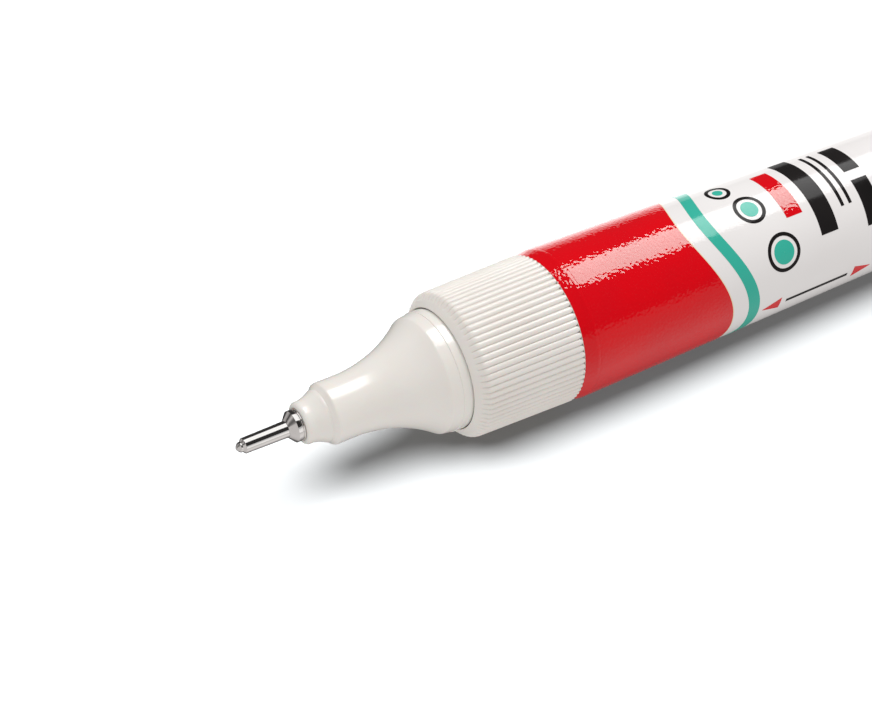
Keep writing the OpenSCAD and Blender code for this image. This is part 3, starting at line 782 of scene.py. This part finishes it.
# Stage, in metres: a pale floor, a pale sheet that the pen lies on in the photo's view, lamps and sky
stage = {
    # the ground is grey round its middle and fades to white; the lamps aim there too
    "size": 1.6, "albedo": (0.205, 0.21, 0.213), "middle": (0, 0, 0.07), "whiteDistance": (0.14, 0.30),
    # direction of the sheet's face, and its distance from the pen's axis at the shoulder
    "sheetFace": (0.7288, -0.6847, 0), "sheetDistance": 0.00992,
    # light on the pen: an even fill and a soft lamp
    "fill": (0.80, 0.79, 0.78),
    "softLamp": {"direction": (0.72, -0.48, -0.5), "distance": 0.6, "size": (0.35, 0.35), "power": 1.5},
    # what the gloss shows: bright panels for the barrel, the edge of the pen, the nose and the metal
    "panel": {"direction": (0.718, -0.485, -0.5), "distance": 0.34, "size": (0.195, 0.22), "power": 1.2},
    "edgePanel": {"direction": (0.429, 0.752, -0.5), "distance": 0.6, "size": (0.415, 0.6),
                  "power": 0.64},
    "edgeGlow": {"direction": (0.331, 0.8, -0.5), "distance": 0.6, "size": (0.27, 0.6), "power": 0.36},
    "nosePanel": {"direction": (0.795, -0.535, -0.29), "distance": 0.3137, "size": (0.199, 0.17),
                  "power": 0.946},
    "metalPanel": {"direction": (0.804, -0.595, -0.2), "distance": 0.16, "size": (0.17, 0.2),
                   "power": 0.1175},
    "metalFill": {"direction": (-0.663, -0.749, -0.35), "distance": 0.2, "size": (0.142, 0.2),
                  "power": 0.04},
    # light on the sheet and on the floor
    "sheetLamp": {"direction": (0.682, -0.731, 0.4), "distance": 1.2, "size": (1.05, 1.05), "power": 88,
                  "shape": "ELLIPSE"},
    "floorLamp": {"direction": (0.25, -0.3, 0.9), "distance": 0.6, "size": (0.25, 0.25), "power": 22},
    # brightness of the surroundings seen in gloss, by angle round the pen (0 faces the camera)
    "bands": [(-180, 0.12), (-165, 0.05), (-30, 0.03), (30, 0.03), (37, 0.4),
              (60, 0.52), (80, 0.74), (102, 0.76), (122, 0.4), (142, 0.15), (180, 0.12)],
    # the same for what lies above the pen, seen in its forward slopes
    "upperBands": [(-180, 0.45), (-130, 0.42), (-120, 0.25), (-115, 0.08), (-110, 0.05), (-98, 0.42),
                   (-92, 0.57), (-86, 0.45), (-74, 0.18), (-58, 0.12), (-43, 0.18), (-30, 0.27),
                   (-20, 0.5), (-8, 0.6), (120, 0.6), (150, 0.45), (180, 0.45)],
    "upperReach": (0.15, 0.35), "bandTint": (1, 0.96, 0.95),
}


def stageMaterial(name, oneSided):
    material = bpy.data.materials.new(name)
    material.use_nodes = True
    nodes, links = material.node_tree.nodes, material.node_tree.links
    nodes.clear()
    out = nodes.new("ShaderNodeOutputMaterial")
    diffuse = nodes.new("ShaderNodeBsdfDiffuse")
    diffuse.inputs["Color"].default_value = (*stage["albedo"], 1)
    white = nodes.new("ShaderNodeEmission")
    white.inputs["Strength"].default_value = 1
    place = nodes.new("ShaderNodeNewGeometry")
    centre = nodes.new("ShaderNodeVectorMath")
    centre.operation = "SUBTRACT"
    centre.inputs[1].default_value = stage["middle"]
    away = nodes.new("ShaderNodeVectorMath")
    away.operation = "LENGTH"
    reach = nodes.new("ShaderNodeMapRange")
    reach.interpolation_type = "SMOOTHSTEP"
    reach.inputs["From Min"].default_value, reach.inputs["From Max"].default_value = stage["whiteDistance"]
    blend = nodes.new("ShaderNodeMixShader")
    links.new(place.outputs["Position"], centre.inputs[0])
    links.new(centre.outputs["Vector"], away.inputs[0])
    links.new(away.outputs["Value"], reach.inputs["Value"])
    links.new(reach.outputs["Result"], blend.inputs["Fac"])
    links.new(diffuse.outputs[0], blend.inputs[1])
    links.new(white.outputs[0], blend.inputs[2])
    result = blend.outputs[0]
    if oneSided:
        clear = nodes.new("ShaderNodeBsdfTransparent")
        side = nodes.new("ShaderNodeMixShader")
        links.new(place.outputs["Backfacing"], side.inputs["Fac"])
        links.new(result, side.inputs[1])
        links.new(clear.outputs[0], side.inputs[2])
        result = side.outputs[0]
    links.new(result, out.inputs["Surface"])
    return material


def stagePlane(name, corners, oneSided):
    mesh = bpy.data.meshes.new(name)
    mesh.from_pydata(corners, [], [(0, 1, 2, 3)])
    mesh.materials.append(stageMaterial(name, oneSided))
    plane = bpy.data.objects.new(name, mesh)
    bpy.context.scene.collection.objects.link(plane)
    # it shows and takes shadows, and neither lights nor shades the pen
    plane.visible_diffuse = plane.visible_glossy = plane.visible_shadow = False
    plane.visible_transmission = False
    return plane


def makeStage():
    size = stage["size"]
    corners = [(-size, -size, 0), (size, -size, 0), (size, size, 0), (-size, size, 0)]
    floor = stagePlane("floor", corners, False)
    face = Vector(stage["sheetFace"]).normalized()
    # the pen lies along its tapered side, so the sheet leans away from the nose
    lean = (shoulderRadius - heelRadius) / (shoulderHeight - filmFoot)
    middle = -face * (stage["sheetDistance"] - lean * shoulderHeight * mm)
    across = Vector((0, 0, 1)).cross(face)
    low, high = middle - across * size, middle + across * size
    tall = Vector((0, 0, size)) - face * lean * size
    sheet = stagePlane("sheet", [low, high, high + tall, low + tall], True)
    return floor, sheet


def makeLamp(name, pieces=None, onlyGloss=False, noGloss=False):
    # where pieces are given, the lamp lights only these
    values = stage[name]
    data = bpy.data.lights.new(name, "AREA")
    data.shape = values.get("shape", "RECTANGLE")
    data.size, data.size_y = values["size"]
    data.energy = values["power"]
    lamp = bpy.data.objects.new(name, data)
    bpy.context.scene.collection.objects.link(lamp)
    back = Vector(values["direction"]).normalized()
    right = Vector((0, 0, 1)).cross(back).normalized()
    turn = Matrix((right, back.cross(right), back)).transposed()
    place = Vector(stage["middle"]) + back * values["distance"]
    lamp.matrix_world = Matrix.Translation(place) @ turn.to_4x4()
    lamp.visible_diffuse, lamp.visible_glossy = not onlyGloss, not noGloss
    if pieces:
        lit = bpy.data.collections.new(name + "Receivers")
        for piece in pieces:
            lit.objects.link(piece)
        lamp.light_linking.receiver_collection = lit


def bandRamp(nodes, bands):
    node = nodes.new("ShaderNodeValToRGB")
    ramp = node.color_ramp
    ramp.elements.remove(ramp.elements[1])
    for i, (turn, light) in enumerate(bands):
        spot = (turn + 180) / 360
        stop = ramp.elements[0] if i == 0 else ramp.elements.new(spot)
        stop.position = spot
        stop.color = (*(light * share for share in stage["bandTint"]), 1)
    return node


def makeSky():
    world = bpy.data.worlds.new("sky")
    bpy.context.scene.world = world
    world.use_nodes = True
    world.cycles.sampling_method = "NONE"  # so that each kind of ray sees its own sky
    nodes, links = world.node_tree.nodes, world.node_tree.links
    background = nodes["Background"]
    place = nodes.new("ShaderNodeTexCoord")
    split = nodes.new("ShaderNodeSeparateXYZ")
    # angle round the pen, from the side that faces the camera
    flipX, flipY, angle, share = (nodes.new("ShaderNodeMath") for _ in range(4))
    for flip in (flipX, flipY):
        flip.operation = "MULTIPLY"
        flip.inputs[1].default_value = -1
    angle.operation = "ARCTAN2"
    share.operation = "MULTIPLY_ADD"
    share.inputs[1].default_value, share.inputs[2].default_value = 1 / (2 * math.pi), 0.5
    bands, upperBands = bandRamp(nodes, stage["bands"]), bandRamp(nodes, stage["upperBands"])
    height = nodes.new("ShaderNodeMapRange")
    height.interpolation_type = "SMOOTHSTEP"
    height.inputs["From Min"].default_value, height.inputs["From Max"].default_value = stage["upperReach"]
    path = nodes.new("ShaderNodeLightPath")
    upMix, glossMix, cameraMix = (nodes.new("ShaderNodeMix") for _ in range(3))
    for mix in (upMix, glossMix, cameraMix):
        mix.data_type = "RGBA"
    glossMix.inputs[6].default_value = (*stage["fill"], 1)
    cameraMix.inputs[7].default_value = (1, 1, 1, 1)
    links.new(place.outputs["Generated"], split.inputs[0])
    links.new(split.outputs["X"], flipX.inputs[0])
    links.new(split.outputs["Y"], flipY.inputs[0])
    links.new(flipX.outputs[0], angle.inputs[0])
    links.new(flipY.outputs[0], angle.inputs[1])
    links.new(angle.outputs[0], share.inputs[0])
    for ramp in (bands, upperBands):
        links.new(share.outputs[0], ramp.inputs["Fac"])
    links.new(split.outputs["Z"], height.inputs["Value"])
    links.new(height.outputs["Result"], upMix.inputs[0])
    links.new(bands.outputs["Color"], upMix.inputs[6])
    links.new(upperBands.outputs["Color"], upMix.inputs[7])
    links.new(path.outputs["Is Glossy Ray"], glossMix.inputs[0])
    links.new(upMix.outputs[2], glossMix.inputs[7])
    links.new(path.outputs["Is Camera Ray"], cameraMix.inputs[0])
    links.new(glossMix.outputs[2], cameraMix.inputs[6])
    links.new(cameraMix.outputs[2], background.inputs["Color"])


floor, sheet = makeStage()
makeLamp("softLamp", noGloss=True)
barrelPieces = [collarPiece, filmPiece, *printPieces]
makeLamp("panel", barrelPieces, onlyGloss=True)
makeLamp("edgePanel", barrelPieces, onlyGloss=True)
makeLamp("edgeGlow", barrelPieces, onlyGloss=True)
makeLamp("nosePanel", [nosePiece], onlyGloss=True)
makeLamp("metalPanel", metalPieces, onlyGloss=True)
makeLamp("metalFill", metalPieces, onlyGloss=True)
makeLamp("sheetLamp", [sheet])
makeLamp("floorLamp", [floor])
makeSky()
bpy.context.scene.view_settings.view_transform = "Standard"
print("stage lit")
